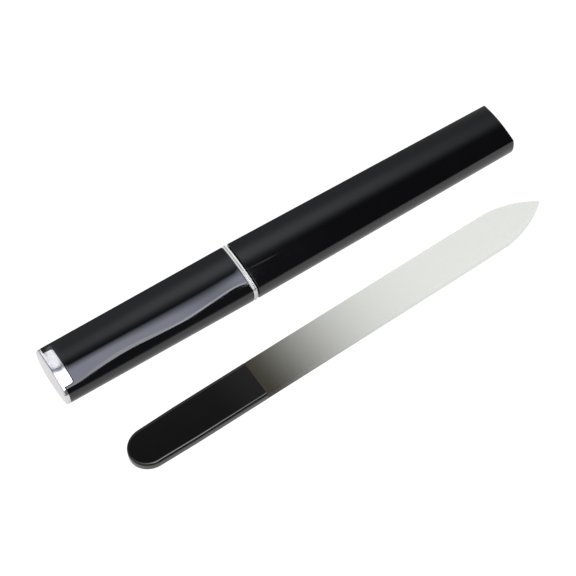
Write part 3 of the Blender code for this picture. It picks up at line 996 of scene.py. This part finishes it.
def make_camera():
    """Camera whose axes are worked out from its turn round Z and its rise above the floor."""
    turn_cos, turn_sin = math.cos(camera_turn), math.sin(camera_turn)
    rise_cos, rise_sin = math.cos(camera_rise), math.sin(camera_rise)
    right = np.array((turn_cos, turn_sin, 0))
    back = np.array((turn_sin * rise_cos, -turn_cos * rise_cos, rise_sin))
    up = np.cross(back, right)
    data = bpy.data.cameras.new("studio_camera")
    data.sensor_width = sensor_width
    data.lens = focal_pixels / image_pixels * sensor_width
    data.clip_start = 0.01
    camera = bpy.data.objects.new("studio_camera", data)
    bpy.context.scene.collection.objects.link(camera)
    place = aim + camera_distance * back
    matrix = np.eye(4)
    matrix[:3, :3] = np.column_stack((right, up, back))
    matrix[:3, 3] = place
    camera.matrix_world = Matrix(matrix.tolist())
    bpy.context.scene.camera = camera
    return place


camera_place = make_camera()
print("camera, mm:", np.round(camera_place / mm, 1))

# %% [markdown]
# ## The floor
#
# The set lies on a white sweep that is lit from above and from below until it is plain white. For the camera the
# floor is exactly that white. For everything else, such as the side of the case that mirrors it, it is a matt sheet
# with a glow of its own and real soft shade beside the pieces.

# %% Floor
floor_half = 3.0
floor_drop = 0.02 * mm
sweep_tone = 0.62
sweep_glow = 0.38
plain_white = 1.1


def make_floor():
    """Square floor just under the pieces, plain white to the camera and matt white to reflections."""
    mesh = bpy.data.meshes.new("floor")
    corners = floor_half * np.array(((-1, -1, 0), (1, -1, 0), (1, 1, 0), (-1, 1, 0))) - (0, 0, floor_drop)
    mesh.from_pydata(corners, [], [(0, 1, 2, 3)])
    floor = bpy.data.objects.new("floor", mesh)
    bpy.context.scene.collection.objects.link(floor)
    material, tree, output = new_material("white_sweep")
    matt = add_node(tree, "BsdfDiffuse", {"Color": (sweep_tone, sweep_tone, sweep_tone, 1)})
    glow = add_node(tree, "Emission", {"Color": (1, 1, 1, 1), "Strength": sweep_glow})
    lit = add_node(tree, "AddShader", {0: matt.outputs[0], 1: glow.outputs[0]})
    white = add_node(tree, "Emission", {"Color": (1, 1, 1, 1), "Strength": plain_white})
    seen = add_node(tree, "LightPath").outputs["Is Camera Ray"]
    mix = add_node(tree, "MixShader", {0: seen, 1: lit.outputs[0], 2: white.outputs[0]})
    tree.links.new(mix.outputs[0], output.inputs["Surface"])
    mesh.materials.append(material)


make_floor()
print("floor, m:", 2 * floor_half, "wide")

# %% [markdown]
# ## The room that the gloss mirrors
#
# Black gloss shows nothing but the room. Here the room is worked out from the direction in which a reflection
# leaves. Two slopes describe it: how far it leans to the back and how far to the right, for each unit that it
# rises. Straight up the room is dark. Towards the back a pale wall shows a soft, bluish hump of light with a blurred
# upper edge. The walls to the left and the right are bright, except on the camera's side, where the room is dim.
# Matt surfaces get even white light from everywhere instead.

# %% Room
room_steps = (
    ("wall_edge", "lean", 0.43, 0.72),
    ("wall_side", "right", -0.20, 0.0),
    ("front", "back", -0.50, -1.20),
    ("haze", "right", 0.34, 0.26),
    ("right_wall", "right", 0.60, 1.0),
    ("left_wall", "right", -0.15, -0.45),
    ("facing", "back", -0.6, 0.0),
    ("right_facing", "back", -0.15, 0.5),
)
room_sums = (
    ("across", "SUBTRACT", "right", 0.29), ("across", "DIVIDE", "across", 0.163), ("across", "POWER", "across", 2.0),
    ("away", "SUBTRACT", "back", 0.68), ("away", "DIVIDE", "away", 0.24), ("away", "POWER", "away", 2.0),
    ("hump", "ADD", "across", "away"), ("hump", "MULTIPLY", "hump", -1.0), ("hump", "EXPONENT", "hump"),
    ("wall", "MULTIPLY_ADD", "hump", 0.57, 0.34),
    ("wall", "MULTIPLY", "wall", "wall_edge"),
    ("wall", "MULTIPLY", "wall", "wall_side"),
    ("front", "MULTIPLY", "front", 0.25),
    ("wall", "MAXIMUM", "wall", "front"),
    ("left_wall", "MULTIPLY", "left_wall", "facing"),
    ("left_wall", "MULTIPLY", "left_wall", 0.95),
    ("wall", "MAXIMUM", "wall", "left_wall"),
    ("wall", "MULTIPLY_ADD", "haze", 0.04, "wall"),
    ("wall", "ADD", "wall", 0.025),
    ("bright", "MULTIPLY", "right_wall", "right_facing"),
)
lowest_rise = 0.02
bright_level = 1.4
even_level = 0.85


def make_room():
    """World whose light depends on direction for reflections, and is even for everything else.

    Each of room_steps is a smooth step of one slope, and room_sums combines them, a row at a time. The back wall is
    smooth step of lean * (0.34 + 0.57 * exp(-(a squared + b squared))), where a and b measure how far the two slopes
    are from the middle of the hump. Lean is the slope to the back plus 0.4 of the slope to the right.
    """
    world = bpy.data.worlds.new("studio")
    bpy.context.scene.world = world
    world.use_nodes = True
    world.cycles.sampling_method = "NONE"
    tree = world.node_tree
    tree.nodes.clear()
    direction = add_node(tree, "SeparateXYZ", {"Vector": add_node(tree, "TexCoord").outputs["Generated"]}).outputs
    rise = add_node(tree, "Math", {0: direction["Z"], 1: lowest_rise}, operation="MAXIMUM").outputs[0]
    value = {}
    for name, axis in (("right", "X"), ("back", "Y")):
        value[name] = add_node(tree, "Math", {0: direction[axis], 1: rise}, operation="DIVIDE").outputs[0]
    value["lean"] = add_node(tree, "Math", {0: value["right"], 1: 0.4, 2: value["back"]},
                             operation="MULTIPLY_ADD").outputs[0]
    for name, source, start, end in room_steps:
        value[name] = add_node(tree, "MapRange", {"Value": value[source], "From Min": start, "From Max": end},
                               interpolation_type="SMOOTHSTEP").outputs["Result"]
    for name, operation, *terms in room_sums:
        inputs = {i: value.get(term, term) for i, term in enumerate(terms)}
        value[name] = add_node(tree, "Math", inputs, operation=operation).outputs[0]
    wall, bright = value["wall"], value["bright"]

    wall_light = add_node(tree, "Background", {"Color": linear("f4f8ff"), "Strength": wall})
    bright_light = add_node(tree, "Background", {"Color": linear("fffefa"), "Strength": bright_level})
    room = add_node(tree, "MixShader", {0: bright, 1: wall_light.outputs[0], 2: bright_light.outputs[0]})
    even = add_node(tree, "Background", {"Color": (1, 1, 1, 1), "Strength": even_level})
    mirrored = add_node(tree, "LightPath").outputs["Is Glossy Ray"]
    mix = add_node(tree, "MixShader", {0: mirrored, 1: even.outputs[0], 2: room.outputs[0]})
    output = tree.nodes.new("ShaderNodeOutputWorld")
    tree.links.new(mix.outputs[0], output.inputs["Surface"])


make_room()
bpy.context.scene.view_settings.view_transform = "Standard"
print("room:", len(bpy.context.scene.world.node_tree.nodes), "nodes")

# %% [markdown]
# ## The key lamp
#
# A large lamp at the back left lights the matt surfaces and the sweep. It leaves soft shade on the near side of the
# case, which is why the floor that its near wall mirrors isn't plain white. The lamp itself stays out of all
# reflections, because the room already holds them.

# %% Key lamp
key_place = Vector((-0.50, 0.70, 0.70))
key_size = 0.6
key_power = 2.8


def make_key_lamp():
    """Square area lamp at the back left, turned to the middle of the set."""
    data = bpy.data.lights.new("key_lamp", "AREA")
    data.size = key_size
    data.energy = key_power
    lamp = bpy.data.objects.new("key_lamp", data)
    lamp.location = key_place
    lamp.rotation_euler = key_place.to_track_quat("Z", "Y").to_euler()
    lamp.visible_camera = False
    lamp.visible_glossy = False
    bpy.context.scene.collection.objects.link(lamp)


make_key_lamp()
print("key lamp, m from the set:", round(key_place.length, 2))

# %% [markdown]
# ## The lamp over the short half
#
# A photographer places a soft box by its reflection: a spot on the glossy case is chosen, and the box goes where the
# line from the camera leaves that spot. The same is done here. Places along the short half mark the near and the
# far border of the reflection. At each of them the line from the camera is mirrored on the case's surface and
# followed up to the height of the box, and those points are its corners. The case's slight taper is left out of
# that, so near the ridges a spot is seen up to 3 mm further right than it is listed, and the lists allow for it.
#
# The box has a brighter rim along its near border, and its light fades out towards the far one. A dim wing carries
# it on to the left, where only the ring sees it. A thin gleam shows past the ring on the long half, and a card lights
# the patch on the plug's tongue.

# %% Soft box
lamp_height = 10.0
card_rows = 17


def mirrored_up(x, y):
    """Points at the lamp's height that the camera sees in the crown of the case at x and y.

    The normal is (0, y, root of R squared - y squared) / R, and the line leaves along 2 * (v . n) * n - v.
    """
    _, _, (top_z, top_radius, _) = section_arcs(x, 0.0, ridge_radius)
    up = np.sqrt(top_radius ** 2 - y ** 2)
    normal = np.stack((0 * y, y / top_radius, up / top_radius), axis=-1)
    place = np.stack((x, y + case_y, top_z + up + middle_z), axis=-1)
    view = camera_place - place
    view /= np.linalg.norm(view, axis=-1)[..., None]
    leave = 2 * np.sum(view * normal, axis=-1)[..., None] * normal - view
    return place + leave * ((lamp_height - place[..., 2]) / leave[..., 2])[..., None]


def light_card(name, spots, stops, tint, gains=1.0):
    """Glowing sheet whose reflection fills the spots on the case. Its light runs from the near to the far border.

    spots lists x along the case from the ring, and y at the near border, at the middle and at the far border there,
    in mm. stops lists pairs of a share of the way and the light there: 0 is the near border, 0.5 the middle and 1 the
    far border. gains multiplies the light at each spot.
    """
    along, near_y, middle_y, far_y = np.array(spots).T * mm
    share, level = np.array(stops).T
    across = np.union1d(np.linspace(0, 1, card_rows), share)[:, None]
    y = np.where(across < 0.5, near_y + (middle_y - near_y) * 2 * across,
                 middle_y + (far_y - middle_y) * (2 * across - 1))
    x = np.broadcast_to(ring_high.x + along, y.shape)
    light = np.interp(across, share, level) * np.broadcast_to(gains, along.shape)
    number = np.arange(y.size).reshape(y.shape)
    faces = np.stack((number[:-1, :-1], number[:-1, 1:], number[1:, 1:], number[1:, :-1]), axis=-1).reshape(-1, 4)
    mesh = bpy.data.meshes.new(name)
    mesh.from_pydata(mirrored_up(x, y).reshape(-1, 3), [], faces)
    mesh.attributes.new("light", "FLOAT", "POINT").data.foreach_set("value", light.astype(np.float32).ravel())
    material, tree, output = new_material(name)
    strength = add_node(tree, "Attribute", attribute_name="light").outputs["Fac"]
    glow = add_node(tree, "Emission", {"Color": (*tint, 1), "Strength": strength})
    tree.links.new(glow.outputs[0], output.inputs["Surface"])
    mesh.materials.append(material)
    card = bpy.data.objects.new(name, mesh)
    bpy.context.scene.collection.objects.link(card)
    card.visible_camera = False
    card.visible_diffuse = False
    return card


# %% [markdown]
# The box's table has a row for each place along the short half: x from the ring, the near border, the rim's width,
# the middle and the far border, in mm. The box is bluish, and its rim is paler, and brighter towards the ring. Next
# to the ring the case shows the corner where the rim ends. Across the box the light is even to just past the middle
# and then falls to nothing at the far border, and it is a fifth dimmer for a stretch near the ring.

# %% Cards
white, pale, cool, warm = (1.0, 1.0, 1.0), (0.95, 0.97, 1.06), (0.90, 0.94, 1.13), (1.0, 0.97, 0.97)
box_spots = np.array((
    (-95, -6.9, 0.4, -3.1, -1.0), (-75, -6.9, 0.4, -3.1, -1.0), (-61.5, -6.7, 0.4, -3.1, -0.3),
    (-60.9, -6.7, 0.4, -3.1, -0.15), (-60.5, -6.7, 0.4, -3.1, -0.25), (-60.1, -6.7, 0.4, -3.1, -0.6),
    (-59.7, -6.65, 0.4, -3.1, -0.95), (-59.3, -6.6, 0.4, -3.1, -1.2), (-58.8, -6.6, 0.4, -3.1, -1.35),
    (-58.4, -6.55, 0.4, -3.1, -1.2), (-58.0, -6.55, 0.4, -3.1, -0.85), (-57.6, -6.5, 0.4, -3.1, -0.35),
    (-57.2, -6.45, 0.4, -3.1, -0.25), (-56.9, -6.4, 0.4, -3.1, -0.6), (-56.6, -6.4, 0.4, -3.1, -0.95),
    (-55, -6.25, 0.6, -3.1, -0.95), (-50, -5.9, 0.9, -3.0, -1.0), (-45, -5.65, 1.1, -3.0, -1.03),
    (-40, -5.65, 1.1, -3.2, -1.07), (-35, -5.95, 1.1, -3.6, -1.13), (-30, -6.15, 0.55, -3.9, -1.18),
    (-25, -6.3, 0.5, -4.0, -1.25), (-20, -6.0, 0.5, -4.2, -1.25), (-15, -5.6, 0.45, -4.2, -1.22),
    (-11, -5.3, 0.45, -4.0, -1.15), (-8.5, -5.1, 0.4, -3.7, -1.02), (-7.2, -5.1, 0.4, -3.6, -0.98),
    (-5.6, -5.3, 0.5, -3.5, -0.95), (-4.7, -5.5, 0.6, -3.5, -0.95), (-4.4, -5.8, 0.8, -3.5, -0.94),
    (-4.2, -6.05, 1.0, -3.4, -0.93), (-4.0, -6.25, 1.2, -3.4, -0.9), (-3.4, -6.3, 1.2, -3.4, -0.9),
    (-3.0, -6.3, 1.2, -3.4, -0.8), (-2.7, -6.3, 1.2, -3.4, -0.55), (-2.4, -6.3, 1.2, -3.4, -0.3),
    (-2.1, -6.3, 1.2, -3.4, -0.2), (-1.0, -6.3, 1.2, -3.4, -0.1),
))
box_x, near_y, rim_width, middle_y, far_y = box_spots.T
rim_y = near_y + rim_width
rim_spots = np.column_stack((box_x, near_y, near_y + rim_width / 2, rim_y))
rim_light = np.interp(box_x, (-75, -50, -35, -25), (5.0, 6.2, 6.2, 8.0))
light_card("soft_box_rim", rim_spots, ((0.0, 0.9), (0.3, 1.0), (0.8, 1.0), (1.0, 0.7)), pale, rim_light)
box_level, fall_start, fall_power = 4.8, 0.53, 1.2
box_share = np.linspace(0, 1, card_rows)
fallen = np.clip((box_share - fall_start) / (1 - fall_start), 0, 1) ** fall_power
box_stops = np.column_stack((box_share, box_level * (1 - fallen)))
box_light = np.interp(box_x, (-25, -15, -9, -4), (1.0, 0.8, 0.8, 1.0))
soft_box = light_card("soft_box", np.column_stack((box_x, rim_y, middle_y, far_y)), box_stops, cool, box_light)
print("soft box, m:", np.round(np.array(soft_box.bound_box)[[0, 6]], 2).tolist())

# %% Small cards
wing_spots = ((-190, -6.9, -3.1, -1.0), (-140, -6.9, -3.1, -1.0), (-95, -6.9, -3.1, -1.0))
light_card("soft_box_wing", wing_spots, ((0.0, 1.3), (0.5, 1.3), (1.0, 1.0)), white)
gleam_spots = ((1.5, -2.25, -2.15, -2.05), (4, -2.70, -2.35, -2.0), (7, -2.80, -2.45, -2.1),
               (9.5, -2.70, -2.50, -2.30))
light_card("gleam", gleam_spots, ((0.0, 0.0), (0.5, 0.85), (1.0, 0.0)), warm)
tongue_spots = ((-61.4, 5.4, 6.4, 7.3), (-61.1, 3.8, 5.4, 7.3), (-60.8, 1.9, 4.4, 7.3), (-60.5, 1.0, 3.9, 7.2),
                (-60.1, 0.45, 3.5, 6.7), (-59.5, -0.1, 2.9, 5.9), (-58.9, -0.35, 2.4, 5.1), (-58.4, -0.1, 2.0, 4.2),
                (-58.0, 0.4, 1.9, 3.4), (-57.8, 1.1, 2.0, 2.9), (-57.65, 2.1, 2.25, 2.4))
light_card("tongue_card", tongue_spots, ((0.0, 1.5), (0.5, 1.45), (1.0, 1.65)), pale)
